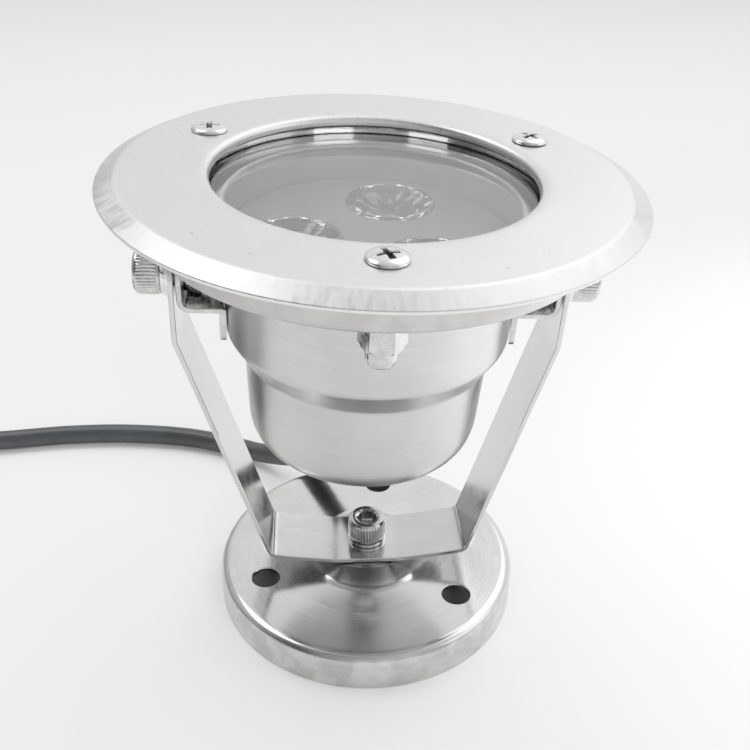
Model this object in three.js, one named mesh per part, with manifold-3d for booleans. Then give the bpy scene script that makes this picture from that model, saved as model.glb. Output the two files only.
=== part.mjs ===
// Underwater pool light: a round foot, a bent yoke, and a stepped can with a bezel ring that tilts in it.
// Millimetres, +Z up, origin under the middle of the foot, front of the lamp towards -Y.
import * as THREE from 'three';
import { mergeVertices } from 'three/addons/utils/BufferGeometryUtils.js';
import Module from 'manifold-3d';

const wasm = await Module();
wasm.setup();

// ---- Driving dimensions -------------------------------------------------------------------------
const SHEET = 1.2; // pressed and bent steel
const CONTACT = 0.15; // gap between flat neighbours in one group
const GAP = 0.3; // gap between neighbours in different groups, or cut to each other's shape
const STRIP_WIDTH = 17.6; // yoke and ears are cut from one strip

// Foot
const BASE_RADIUS = 39.5;
const BASE_HEIGHT = 10;
const BASE_FILLET = 2.2;
const BOSS_FOOT = 15.5;
const BOSS_FLAT = 9;
const BOSS_TOP = 12.75;
const MOUNT_HOLE_RADIUS = 3.55;
const MOUNT_HOLE_CIRCLE = 28.8;
const MOUNT_HOLE_TURN = 84.2;

// How the bracket and the head stand
const YOKE_TURN = 3.92;
const AXIS_LEAN = 2.03;
const HEAD_TILT = 2.4;
const PIVOT_HEIGHT = 91.4;

// M6 screws, nuts and washers
const M6_HOLE = 3.3;
const M6_SHANK = 2.95;
const M6_HEAD_RADIUS = 5;
const M6_HEAD_HEIGHT = 6;
const M6_SOCKET_FLATS = 5;
const M6_NUT_FLATS = 10;
const WASHER_RADIUS = 6;
const WASHER_THICKNESS = 0.9;

// Yoke
const STRAP_MIDDLE = 13.55;
const STRAP_RISE = 2.6;
const STRAP_END = 25.6;
const ARM_OUTER = 43.9;
const ARM_BEND_DROP = 13.2;
const ARM_END_RADIUS = 8.9;
const BOLT_HEAD_SEAT = 15.35;

// Head, in its own frame: origin on the tilt axis, +Z along the optical axis
const RING_TOP = 24.93;
const RING_OUTER = 57.4;
const RING_FLAT = 53.2;
const RING_OPENING = 34.6;
const RING_LIP_START = 38.5;
const RING_LIP_DROP = 2.15;
const RING_BEVEL_DROP = 1.95;
const RING_THICKNESS = 2;
const RING_SCREW_CIRCLE = 42.3;
const RING_SCREW_TURN = 29.4;
const RING_SCREW_HOLE = 2.75;
const CAN_SCREW_HOLE = 2.8;
const FLANGE_RADIUS = 47.8;
const FLANGE_DEPTH = 12;
const CAN_UPPER = 32.6;
const CAN_LOWER = 28.4;
const CAN_DEPTH = 68;
const CAN_SEGMENTS = 40;
const EAR_FLANGE_INNER = 41;
const EAR_WEB_BOTTOM = -5.5;
const EAR_TAB_BOTTOM = -13.5;
const GLASS_TOP = RING_TOP - 3.3;
const GLASS_BOTTOM = RING_TOP - 10.1;
const GLASS_RADIUS = 37.6;
const GASKET_RADIUS = 39.5;
const GASKET_INNER = 36;

// Light engine inside the can
const LENS_RADIUS = 10.1;
const LENS_CIRCLE = 17.3;
const LENS_TURN = 73;
const PLATE_TOP = RING_TOP - 18.8;
const BOARD_TOP = RING_TOP - 30.3;
const DRIVER_TOP = RING_TOP - 44;
const PILLAR_CIRCLE = 24;
const PLATE_RADIUS = 31.1;
const BOARD_RADIUS = 30.9;
const BOARD_THICKNESS = 1.6;

// Cable gland and cable
const GLAND_X = 1.8;
const GLAND_Y = 11.5;
const GLAND_HOLE = 4.6;
const GLAND_FLATS = 11;
const GLAND_EXIT = -51.8;
const CABLE_RADIUS = 3.1;
const CABLE_BORE = 3.4;
const COIL_CENTRE = [-178, 15];
const COIL_INNER = 28.6;
const COIL_OUTER = 41.6;
const COIL_BOTTOM = 1.2;
const COIL_TOP = 13.6;

const rad = THREE.MathUtils.degToRad;

// ---- Geometry helpers ---------------------------------------------------------------------------

// Keeps position only, merges shared vertices, drops slivers and turns the faces outwards.
function closed(geometry) {
  const bare = geometry.clone();
  bare.deleteAttribute('normal');
  bare.deleteAttribute('uv');
  const merged = mergeVertices(bare, 1e-4);
  const position = merged.getAttribute('position');
  const index = merged.getIndex().array;
  const kept = [];
  let volume = 0;
  const [a, b, c] = [new THREE.Vector3(), new THREE.Vector3(), new THREE.Vector3()];
  for (let i = 0; i < index.length; i += 3) {
    const [p, q, r] = [index[i], index[i + 1], index[i + 2]];
    if (p === q || q === r || r === p) continue;
    kept.push(p, q, r);
    a.fromBufferAttribute(position, p);
    b.fromBufferAttribute(position, q);
    c.fromBufferAttribute(position, r);
    volume += a.dot(b.cross(c));
  }
  merged.setIndex(volume < 0 ? kept.reverse() : kept);
  return merged;
}

function toManifold(geometry) {
  const body = closed(geometry);
  return new wasm.Manifold(new wasm.Mesh({
    numProp: 3,
    vertProperties: new Float32Array(body.getAttribute('position').array),
    triVerts: new Uint32Array(body.getIndex().array),
  }));
}

function fromManifold(solid) {
  const mesh = solid.getMesh();
  const geometry = new THREE.BufferGeometry();
  geometry.setAttribute('position', new THREE.BufferAttribute(new Float32Array(mesh.vertProperties), 3));
  geometry.setIndex(Array.from(mesh.triVerts));
  return geometry;
}

function subtract(geometry, ...cutters) {
  const cut = (body, cutter) => body.subtract(toManifold(cutter));
  return fromManifold(cutters.reduce(cut, toManifold(geometry)));
}

function join(...geometries) {
  const [first, ...rest] = geometries.map(toManifold);
  return fromManifold(rest.reduce((body, other) => body.add(other), first));
}

function intersect(first, second) {
  return fromManifold(toManifold(first).intersect(toManifold(second)));
}

// Turns a profile of [radius, z] about the Z axis. It starts and ends on the axis, or closes on itself.
function turned(profile, segments = 48) {
  const points = profile.map(([r, z]) => new THREE.Vector2(r, z));
  return new THREE.LatheGeometry(points, segments).rotateX(Math.PI / 2);
}

function ring(inner, outer, low, high, segments = 24) {
  return turned([[inner, low], [outer, low], [outer, high], [inner, high], [inner, low]], segments);
}

function rod(radius, low, high, segments = 20) {
  const height = high - low;
  return new THREE.CylinderGeometry(radius, radius, height, segments)
    .rotateX(Math.PI / 2)
    .translate(0, 0, low + height / 2);
}

function box(x, y, z) {
  return new THREE.BoxGeometry(x[1] - x[0], y[1] - y[0], z[1] - z[0])
    .translate((x[0] + x[1]) / 2, (y[0] + y[1]) / 2, (z[0] + z[1]) / 2);
}

function polygon(points) {
  return new THREE.Shape(points.map(([x, y]) => new THREE.Vector2(x, y)));
}

function hexagon(flats) {
  const corner = flats / Math.sqrt(3);
  return polygon([0, 60, 120, 180, 240, 300].map(
    (degrees) => [corner * Math.cos(rad(degrees)), corner * Math.sin(rad(degrees))]));
}

function prism(shape, low, high) {
  return new THREE.ExtrudeGeometry(shape, { depth: high - low, bevelEnabled: false, curveSegments: 8 })
    .translate(0, 0, low);
}

function nut(flats, bore, low, high) {
  const shape = hexagon(flats);
  shape.holes.push(new THREE.Path().absarc(0, 0, bore, 0, Math.PI * 2, true));
  return prism(shape, low, high);
}

// A shape drawn as (y, z), extruded along X.
function alongX(shape, from, to) {
  const turn = new THREE.Matrix4().makeBasis(
    new THREE.Vector3(0, 1, 0), new THREE.Vector3(0, 0, 1), new THREE.Vector3(1, 0, 0));
  return prism(shape, from, to).applyMatrix4(turn);
}

// A shape drawn as (x, z), extruded along Y to both sides of the middle.
function alongY(shape, width) {
  return prism(shape, -width / 2, width / 2).rotateX(Math.PI / 2);
}

function around(count, radius, firstDegrees, place) {
  const made = [];
  for (let k = 0; k < count; k += 1) {
    const angle = rad(firstDegrees + (360 / count) * k);
    made.push(place(radius * Math.cos(angle), radius * Math.sin(angle), k + 1));
  }
  return made;
}

// Replaces each inner corner of a polyline by an arc of the given radius.
function roundCorners(points, radius, steps = 4) {
  const rounded = [points[0]];
  for (let i = 1; i < points.length - 1; i += 1) {
    const corner = new THREE.Vector2(...points[i]);
    const back = new THREE.Vector2(...points[i - 1]).sub(corner).normalize();
    const ahead = new THREE.Vector2(...points[i + 1]).sub(corner).normalize();
    const half = back.angleTo(ahead) / 2;
    if (Math.PI / 2 - half < rad(4)) {
      rounded.push(points[i]);
      continue;
    }
    const reach = radius / Math.tan(half);
    const start = corner.clone().addScaledVector(back, reach);
    const end = corner.clone().addScaledVector(ahead, reach);
    const bend = new THREE.QuadraticBezierCurve(start, corner, end);
    bend.getPoints(steps).forEach((p) => rounded.push([p.x, p.y]));
  }
  rounded.push(points.at(-1));
  return rounded;
}

// The outline of a strip of even thickness along a polyline.
function stripShape(points, thickness) {
  const left = [];
  const right = [];
  points.forEach((point, i) => {
    const here = new THREE.Vector2(...point);
    const before = new THREE.Vector2(...points[Math.max(i - 1, 0)]);
    const after = new THREE.Vector2(...points[Math.min(i + 1, points.length - 1)]);
    const into = i > 0 ? here.clone().sub(before).normalize() : after.clone().sub(here).normalize();
    const out = i < points.length - 1 ? after.clone().sub(here).normalize() : into.clone();
    const along = into.clone().add(out).normalize();
    const normal = new THREE.Vector2(-along.y, along.x);
    const half = thickness / 2 / along.dot(into);
    left.push([here.x + normal.x * half, here.y + normal.y * half]);
    right.push([here.x - normal.x * half, here.y - normal.y * half]);
  });
  return polygon([...left, ...right.reverse()]);
}

// ---- Materials ----------------------------------------------------------------------------------
const steel = { color: 0xb9bab8, metalness: 1, roughness: 0.34 };
const clear = { roughness: 0.05, transparent: true };
const materials = {
  satinSteel: new THREE.MeshStandardMaterial(steel),
  polishedSteel: new THREE.MeshStandardMaterial({ ...steel, color: 0xc6c7c6, roughness: 0.16 }),
  screwSteel: new THREE.MeshStandardMaterial({ ...steel, color: 0xd0d0ce, roughness: 0.22 }),
  glass: new THREE.MeshStandardMaterial({ ...clear, color: 0xe4ecec, opacity: 0.35 }),
  lens: new THREE.MeshStandardMaterial({ ...clear, color: 0xf2f5f5, opacity: 0.5 }),
  rubber: new THREE.MeshStandardMaterial({ color: 0x1d1f21, roughness: 0.6 }),
  greyPaint: new THREE.MeshStandardMaterial({ color: 0x9b9d9d, roughness: 0.5 }),
  aluminium: new THREE.MeshStandardMaterial({ color: 0xc9cbcd, metalness: 1, roughness: 0.4 }),
  board: new THREE.MeshStandardMaterial({ color: 0x2f5a3c, roughness: 0.5 }),
  emitter: new THREE.MeshStandardMaterial({ color: 0xdcdad0, roughness: 0.4 }),
  copper: new THREE.MeshStandardMaterial({ color: 0xb06a3b, metalness: 1, roughness: 0.4 }),
  brownCore: new THREE.MeshStandardMaterial({ color: 0x5b3421, roughness: 0.5 }),
  blueCore: new THREE.MeshStandardMaterial({ color: 0x27509a, roughness: 0.5 }),
  nylon: new THREE.MeshStandardMaterial({ color: 0x17181a, roughness: 0.5 }),
};

// ---- The scene graph ----------------------------------------------------------------------------
const lamp = new THREE.Group();
const yoke = new THREE.Group();
const axle = new THREE.Group();
const head = new THREE.Group();
lamp.add(yoke);
yoke.add(axle);
axle.add(head);
yoke.rotation.z = rad(YOKE_TURN);
axle.position.z = PIVOT_HEIGHT;
axle.rotation.y = rad(AXIS_LEAN);
head.rotation.x = rad(HEAD_TILT);

function addPiece(group, name, geometry, material) {
  const mesh = new THREE.Mesh(closed(geometry), material);
  mesh.name = name;
  group.add(mesh);
}

// ---- Screws, washers and springs ----------------------------------------------------------------

// A socket cap screw, its head seated at z = 0 and its shank reaching down.
function capScrew(shankLength) {
  const body = turned([
    [0, -shankLength], [M6_SHANK - 0.5, -shankLength], [M6_SHANK, -shankLength + 0.6], [M6_SHANK, 0],
    [M6_HEAD_RADIUS - 0.3, 0], [M6_HEAD_RADIUS, 0.35], [M6_HEAD_RADIUS, M6_HEAD_HEIGHT - 0.55],
    [M6_HEAD_RADIUS - 0.5, M6_HEAD_HEIGHT], [0, M6_HEAD_HEIGHT],
  ], 24);
  return subtract(body, prism(hexagon(M6_SOCKET_FLATS), M6_HEAD_HEIGHT - 3, M6_HEAD_HEIGHT + 1));
}

// A split washer: a ring with a narrow slanting gap.
function springWasher(low, high) {
  const slot = box([0, 8], [-0.5, 0.5], [-2, 2]).rotateX(rad(30)).translate(0, 0, (low + high) / 2);
  return subtract(ring(3.3, 5.2, low, high, 24), slot);
}

// ---- Foot ---------------------------------------------------------------------------------------

function baseDish() {
  const rim = BASE_RADIUS - SHEET;
  const outside = [[BASE_RADIUS, 0], [BASE_RADIUS, BASE_HEIGHT - BASE_FILLET]];
  for (const degrees of [30, 60, 90]) {
    outside.push([
      BASE_RADIUS - BASE_FILLET + BASE_FILLET * Math.cos(rad(degrees)),
      BASE_HEIGHT - BASE_FILLET + BASE_FILLET * Math.sin(rad(degrees)),
    ]);
  }
  const slope = (drop) => [
    [BOSS_FOOT - drop * 0.2, BASE_HEIGHT - drop], [BOSS_FOOT - 2, BASE_HEIGHT + 0.4 - drop],
    [BOSS_FLAT + 1.6, BOSS_TOP - 0.4 - drop], [BOSS_FLAT - drop * 0.2, BOSS_TOP - drop],
  ];
  const shell = turned([
    ...outside, ...slope(0), [M6_HOLE, BOSS_TOP], [M6_HOLE, BOSS_TOP - SHEET], ...slope(SHEET).reverse(),
    [rim - 1, BASE_HEIGHT - SHEET], [rim, BASE_HEIGHT - SHEET - 1], [rim, 0], [BASE_RADIUS, 0],
  ], 48);
  const holes = around(3, MOUNT_HOLE_CIRCLE, MOUNT_HOLE_TURN,
    (x, y) => rod(MOUNT_HOLE_RADIUS, 5, 15, 16).translate(x, y, 0));
  return subtract(shell, ...holes);
}

function addFoot() {
  const washerTop = BOLT_HEAD_SEAT - CONTACT;
  const underBoss = BOSS_TOP - SHEET - CONTACT;
  const nutTop = underBoss - WASHER_THICKNESS - CONTACT;
  addPiece(lamp, 'base_dish', baseDish(), materials.polishedSteel);
  addPiece(lamp, 'base_bolt',
    capScrew(BOLT_HEAD_SEAT - 3).translate(0, 0, BOLT_HEAD_SEAT), materials.screwSteel);
  addPiece(lamp, 'base_washer',
    ring(M6_HOLE, WASHER_RADIUS, washerTop - WASHER_THICKNESS, washerTop), materials.screwSteel);
  addPiece(lamp, 'base_nut_washer',
    ring(M6_HOLE, WASHER_RADIUS, underBoss - WASHER_THICKNESS, underBoss), materials.screwSteel);
  addPiece(lamp, 'base_nut', nut(M6_NUT_FLATS, M6_HOLE - 0.15, nutTop - 5, nutTop), materials.screwSteel);
}

// ---- Yoke ---------------------------------------------------------------------------------------

// Cuts the corners off a strip end, to leave it round about the tilt axis.
function endCutter() {
  const side = STRIP_WIDTH / 2 + 3;
  const shape = polygon([[-side, 0], [-side, 14], [side, 14], [side, 0], [ARM_END_RADIUS, 0]]);
  shape.absarc(0, 0, ARM_END_RADIUS, 0, Math.PI, false);
  return shape;
}

function yokeBracket() {
  const middle = ARM_OUTER - SHEET / 2;
  const axleFrame = new THREE.Matrix4().makeTranslation(0, 0, PIVOT_HEIGHT)
    .multiply(new THREE.Matrix4().makeRotationY(rad(AXIS_LEAN)));
  const atAxle = (x, z) => {
    const p = new THREE.Vector3(x, 0, z).applyMatrix4(axleFrame);
    return [p.x, p.z];
  };
  const bowed = (share) => (Math.abs(share) > 0.3 ? STRAP_RISE * share * share : 0);
  const bow = [-0.8, -0.55, -0.25, 0.25, 0.55, 0.8].map(
    (share) => [share * STRAP_END, STRAP_MIDDLE + bowed(share)]);
  const line = roundCorners([
    atAxle(-middle, 10), atAxle(-middle, -ARM_BEND_DROP), [-STRAP_END, STRAP_MIDDLE + STRAP_RISE], ...bow,
    [STRAP_END, STRAP_MIDDLE + STRAP_RISE], atAxle(middle, -ARM_BEND_DROP), atAxle(middle, 10),
  ], 2.4);
  const strip = alongY(stripShape(line, SHEET), STRIP_WIDTH);
  const ends = alongX(endCutter(), -60, 60).applyMatrix4(axleFrame);
  const pivots = rod(M6_HOLE, -60, 60).rotateY(Math.PI / 2).applyMatrix4(axleFrame);
  return subtract(strip, ends, pivots, rod(M6_HOLE, 5, 20));
}

// ---- Head: bezel, glass and can -----------------------------------------------------------------

function bezelRing() {
  const top = RING_TOP;
  const under = top - RING_THICKNESS;
  const lip = [[35.1, 1], [35.8, 0.35], [36.8, 0.1]].map(([r, drop]) => [r, top - drop]);
  const plate = turned([
    [RING_OPENING, top - RING_LIP_DROP], [RING_OPENING + 0.1, top - 1.7], ...lip, [RING_LIP_START, top],
    [RING_FLAT, top], [RING_OUTER, top - RING_BEVEL_DROP], [RING_OUTER - 0.1, top - RING_BEVEL_DROP - 0.75],
    [RING_OUTER - 0.8, top - RING_BEVEL_DROP - 0.9], [RING_FLAT - 1, under], [RING_OPENING + 2, under],
    [RING_OPENING + 1, top - RING_LIP_DROP], [RING_OPENING, top - RING_LIP_DROP],
  ], 56);
  const holes = around(3, RING_SCREW_CIRCLE, RING_SCREW_TURN,
    (x, y) => rod(RING_SCREW_HOLE, 18, 30, 12).translate(x, y, 0));
  return subtract(plate, ...holes);
}

function canSide(inset) {
  const floor = RING_TOP - FLANGE_DEPTH + inset;
  const bottom = RING_TOP - CAN_DEPTH + inset;
  const upper = CAN_UPPER - inset;
  const lower = CAN_LOWER - inset;
  const base = lower - 0.9;
  const round = 10 - inset;
  const side = [
    [FLANGE_RADIUS - inset, RING_TOP - 2.2], [FLANGE_RADIUS - inset, floor + 1],
    [FLANGE_RADIUS - inset - 1, floor],
    [upper + 1, floor], [upper, floor - 1], [upper, RING_TOP - 35], [upper - 0.6, RING_TOP - 38],
    [upper - 2, RING_TOP - 40.4], [lower + 0.7, RING_TOP - 42.2], [lower, RING_TOP - 44.4],
    [base, bottom + round],
  ];
  for (const degrees of [22.5, 45, 67.5, 90]) {
    side.push([
      base - round + round * Math.cos(rad(degrees)), bottom + round - round * Math.sin(rad(degrees)),
    ]);
  }
  return side;
}

function housingCan() {
  const outside = canSide(0);
  const inside = canSide(SHEET);
  const shell = turned([[0, RING_TOP - CAN_DEPTH], ...outside.reverse(), ...inside,
    [0, RING_TOP - CAN_DEPTH + SHEET]], CAN_SEGMENTS);
  const holes = around(3, RING_SCREW_CIRCLE, RING_SCREW_TURN,
    (x, y) => rod(CAN_SCREW_HOLE, 8, 18, 12).translate(x, y, 0));
  return subtract(shell, ...holes, rod(GLAND_HOLE, -50, -35).translate(GLAND_X, GLAND_Y, 0));
}

// A pan-head screw, its head seated at z = 0.
function panScrew() {
  return turned([
    [0, -16.8], [2, -16.8], [2.4, -16.3], [2.4, 0],
    [4.1, 0], [4.2, 0.45], [3.9, 1.2], [2.9, 1.9], [0, 2.35],
  ], 16);
}

// A crown nut that hangs under the flange, its face at z = 0.
function crownNut() {
  const crown = turned([[0, -9.5], [1.5, -9.4], [2.7, -8.9], [3.15, -7.8], [3.15, -2], [0, -2]], 16);
  return subtract(join(prism(hexagon(8), -5.1, 0), crown), rod(2.65, -5.4, 1, 12));
}

function addBezel() {
  addPiece(head, 'bezel_ring', bezelRing(), materials.satinSteel);
  addPiece(head, 'housing_can', housingCan(), materials.satinSteel);
  const besideGlass = GLASS_RADIUS + GAP;
  const flangeTop = RING_TOP - FLANGE_DEPTH + SHEET;
  addPiece(head, 'glass_lens', turned([
    [0, GLASS_BOTTOM], [GLASS_RADIUS - 0.5, GLASS_BOTTOM], [GLASS_RADIUS, GLASS_BOTTOM + 0.5],
    [GLASS_RADIUS, GLASS_TOP - 0.5], [GLASS_RADIUS - 0.5, GLASS_TOP], [0, GLASS_TOP],
  ], 40), materials.glass);
  addPiece(head, 'glass_gasket', turned([
    [GASKET_INNER, GLASS_TOP + 0.2], [GASKET_INNER, GLASS_TOP + 1],
    [GASKET_RADIUS, GLASS_TOP + 1], [GASKET_RADIUS, GLASS_BOTTOM],
    [besideGlass, GLASS_BOTTOM], [besideGlass, GLASS_TOP + 0.2], [GASKET_INNER, GLASS_TOP + 0.2],
  ], 40), materials.rubber);
  addPiece(head, 'seat_gasket',
    ring(GASKET_INNER, GASKET_RADIUS, flangeTop + CONTACT, GLASS_BOTTOM - CONTACT, 40), materials.rubber);
  around(3, RING_SCREW_CIRCLE, RING_SCREW_TURN, (x, y, number) => {
    addPiece(head, `bezel_screw_${number}`,
      panScrew().translate(x, y, RING_TOP + CONTACT), materials.screwSteel);
    addPiece(head, `crown_nut_${number}`,
      crownNut().translate(x, y, RING_TOP - FLANGE_DEPTH - CONTACT), materials.screwSteel);
  });
}

// ---- Ears and pivots, made for the right side and turned round for the left ----------------------

function earBracket() {
  const web = EAR_WEB_BOTTOM + SHEET / 2;
  const flange = EAR_FLANGE_INNER + SHEET / 2;
  const line = roundCorners([[30, web], [flange, web], [flange, 10]], 2);
  const tabShape = new THREE.Shape();
  const side = STRIP_WIDTH / 2;
  const corner = 3;
  tabShape.moveTo(-side, EAR_WEB_BOTTOM + SHEET * 0.5);
  tabShape.lineTo(-side, EAR_TAB_BOTTOM + corner);
  tabShape.absarc(-side + corner, EAR_TAB_BOTTOM + corner, corner, Math.PI, Math.PI * 1.5, false);
  tabShape.absarc(side - corner, EAR_TAB_BOTTOM + corner, corner, Math.PI * 1.5, Math.PI * 2, false);
  tabShape.lineTo(side, EAR_WEB_BOTTOM + SHEET * 0.5);
  const canClearance = CAN_UPPER + GAP;
  const tab = intersect(
    ring(canClearance, canClearance + SHEET, EAR_TAB_BOTTOM - 3, 0, CAN_SEGMENTS * 2),
    alongX(tabShape, 20, 40));
  const strip = subtract(alongY(stripShape(line, SHEET), STRIP_WIDTH),
    alongX(endCutter(), 35, 50), rod(M6_HOLE, 35, 50).rotateY(Math.PI / 2),
    rod(canClearance + 0.4, -20, 5, CAN_SEGMENTS * 2));
  return join(strip, tab);
}

function addPivots() {
  const headSeat = ARM_OUTER + 2.16;
  const washerLow = ARM_OUTER + CONTACT;
  const springLow = washerLow + WASHER_THICKNESS + 0.1;
  for (const [name, turn] of [['right', 0], ['left', Math.PI]]) {
    const outward = (geometry) => geometry.rotateY(Math.PI / 2).rotateZ(turn);
    addPiece(head, `ear_bracket_${name}`, earBracket().rotateZ(turn), materials.polishedSteel);
    addPiece(head, `pivot_bolt_${name}`,
      outward(capScrew(headSeat - 35.6).translate(0, 0, headSeat)), materials.screwSteel);
    addPiece(head, `pivot_washer_${name}`,
      outward(ring(M6_HOLE, WASHER_RADIUS, washerLow, washerLow + WASHER_THICKNESS)), materials.screwSteel);
    addPiece(head, `pivot_spring_washer_${name}`,
      outward(springWasher(springLow, headSeat - 0.1)), materials.screwSteel);
    addPiece(head, `pivot_insert_${name}`,
      outward(ring(3.15, 4, 37.6, EAR_FLANGE_INNER - GAP, 24)), materials.screwSteel);
  }
}

// ---- Light engine -------------------------------------------------------------------------------

// A clear collimator, its emitting face at z = 0, with a recess for the emitter below.
function collimator() {
  return turned([
    [0, -7], [3.2, -7], [3.2, -10], [5, -10], [7.6, -6.6], [9.4, -2.6],
    [LENS_RADIUS, -1.5], [LENS_RADIUS, 0], [0, 0],
  ], 20);
}

function emitter() {
  const dome = turned([[0, -1], [1.4, -1], [1.4, 0], [1, 1], [0, 1.4]], 12);
  return join(box([-1.9, 1.9], [-1.9, 1.9], [-1.3, 0]), dome);
}

function discWithHoles(radius, low, high, cutters) {
  return subtract(rod(radius, low, high, 40), ...cutters);
}

function addLightEngine() {
  const plateLow = PLATE_TOP - 1;
  const boardLow = BOARD_TOP - BOARD_THICKNESS;
  const heatTop = boardLow - CONTACT;
  const heatLow = heatTop - 2.8;
  const driverLow = DRIVER_TOP - BOARD_THICKNESS;
  const screwHoles = around(3, PILLAR_CIRCLE, LENS_TURN + 60,
    (x, y) => rod(1.9, heatLow - 2, BOARD_TOP + 2, 12).translate(x, y, 0));
  const lensHoles = around(3, LENS_CIRCLE, LENS_TURN,
    (x, y) => rod(LENS_RADIUS + 0.35, plateLow - 2, PLATE_TOP + 2, 20).translate(x, y, 0));
  addPiece(head, 'cover_plate',
    discWithHoles(PLATE_RADIUS, plateLow, PLATE_TOP, lensHoles), materials.greyPaint);
  addPiece(head, 'led_board',
    discWithHoles(BOARD_RADIUS, boardLow, BOARD_TOP, screwHoles), materials.board);
  addPiece(head, 'heat_plate',
    discWithHoles(BOARD_RADIUS, heatLow, heatTop, screwHoles), materials.aluminium);
  around(3, LENS_CIRCLE, LENS_TURN, (x, y, number) => {
    addPiece(head, `led_optic_${number}`, collimator().translate(x, y, PLATE_TOP + 0.5), materials.lens);
    addPiece(head, `led_emitter_${number}`,
      emitter().translate(x, y, BOARD_TOP + CONTACT + 1.3), materials.emitter);
  });
  around(3, PILLAR_CIRCLE, LENS_TURN + 60, (x, y, number) => {
    addPiece(head, `plate_pillar_${number}`,
      ring(1.7, 2.6, BOARD_TOP + CONTACT, plateLow - CONTACT, 12).translate(x, y, 0), materials.aluminium);
    const screw = turned([[0, 0], [2.7, 0], [2.7, 1.6], [1.45, 1.6], [1.45, 10], [0, 10]], 12);
    addPiece(head, `board_screw_${number}`,
      screw.translate(x, y, heatLow - 1.6 - CONTACT), materials.screwSteel);
  });
  addPiece(head, 'driver_board', box([-17, 17], [-13, 9], [driverLow, DRIVER_TOP]), materials.board);
  for (const [number, x] of [[1, -14], [2, 14]]) {
    addPiece(head, `driver_pillar_${number}`,
      rod(2, DRIVER_TOP + CONTACT, heatLow - CONTACT, 12).translate(x, -2, 0), materials.aluminium);
  }
  addPiece(head, 'driver_coil',
    ring(2.6, 6.5, DRIVER_TOP + CONTACT, DRIVER_TOP + 4.5, 20).translate(-4, -2, 0), materials.copper);
  addPiece(head, 'driver_capacitor',
    rod(4, DRIVER_TOP - 10.5, driverLow - CONTACT, 20).translate(6, -6, 0), materials.nylon);
}

// ---- Cable gland --------------------------------------------------------------------------------

function addGland() {
  const canBottom = RING_TOP - CAN_DEPTH;
  const canFloor = canBottom + SHEET;
  const hexTop = canBottom - GAP;
  const hexLow = hexTop - 2.8;
  const place = (geometry) => geometry.translate(GLAND_X, GLAND_Y, 0);
  const stub = ring(CABLE_BORE, 4.3, hexLow - 3.3, canBottom + 5.4, 24);
  const collar = nut(GLAND_FLATS, 3.8, hexLow, hexTop);
  addPiece(head, 'gland_body', place(join(stub, collar)), materials.screwSteel);
  addPiece(head, 'gland_nut',
    place(nut(GLAND_FLATS, GLAND_HOLE, canFloor + CONTACT, canFloor + 3)), materials.screwSteel);
  addPiece(head, 'gland_seal',
    place(ring(CABLE_BORE, 4.7, GLAND_EXIT + 1, hexLow - 3.6, 24)), materials.rubber);
  addPiece(head, 'gland_cap', place(turned([
    [5.6, hexLow - GAP], [5.6, GLAND_EXIT + 2], [4.7, GLAND_EXIT], [CABLE_BORE, GLAND_EXIT],
    [CABLE_BORE, GLAND_EXIT + 0.8], [5, GLAND_EXIT + 0.8], [5, hexLow - GAP], [5.6, hexLow - GAP],
  ], 24)), materials.screwSteel);
  addPiece(head, 'lead_tail',
    place(rod(CABLE_RADIUS - 0.1, GLAND_EXIT + CONTACT, RING_TOP - 48, 16)), materials.rubber);
}

// ---- Cable --------------------------------------------------------------------------------------

// From the gland, down behind the foot, and along the floor to the coil.
const cableRoute = [
  [-0.96, 13.64, 39.8], [-1.2, 13.95, 34], [-2.6, 16.4, 27.8], [-6.2, 21.6, 22.4], [-11.2, 28.2, 18.2],
  [-16.6, 35, 14.6], [-22.2, 41.4, 10.4], [-28.6, 47.2, 6.5], [-36.4, 52.4, 3.9], [-46, 57, 3.15],
  [-60, 61, 3.15], [-80, 62.8, 3.15], [-100, 61.6, 3.15], [-120, 58, 3.15],
  [-139, 54.8, 3.4], [-159, 53.3, 4],
];
// From the coil's upper turn down to the floor beside it.
const tailRoute = [
  [-222.4, 6, 7], [-224.6, -6, 4.2], [-225.8, -18, 3.2], [-226, -38, 3.15],
];
const DROP_END = [-16.6, 35, 14.6];

function cableTube(curve, from, to, steps) {
  const points = [];
  for (let i = 0; i <= steps; i += 1) {
    points.push(curve.getPointAt(from + ((to - from) * i) / steps));
  }
  const section = new THREE.Shape().absarc(0, 0, CABLE_RADIUS, 0, Math.PI * 2, false);
  return new THREE.ExtrudeGeometry(section, {
    steps, curveSegments: 5, extrudePath: new THREE.CatmullRomCurve3(points),
  });
}

// The share of a curve's length at which it passes nearest a point.
function shareNear(curve, target) {
  let best = 0;
  for (let i = 0; i <= 400; i += 1) {
    const near = curve.getPointAt(i / 400).distanceTo(target) < curve.getPointAt(best).distanceTo(target);
    if (near) best = i / 400;
  }
  return best;
}

function coilTie() {
  const wall = 0.9;
  const slack = 1.2;
  const [near, far, top] = [COIL_INNER - slack, COIL_OUTER + slack, COIL_TOP + slack];
  const frame = polygon([[near, 0], [far, 0], [far, top], [near, top]]);
  const inner = [
    [near + wall, wall], [near + wall, top - wall], [far - wall, top - wall], [far - wall, wall],
  ];
  frame.holes.push(new THREE.Path(inner.map(([x, y]) => new THREE.Vector2(x, y))));
  return alongY(frame, 4).rotateZ(rad(-60));
}

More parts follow.
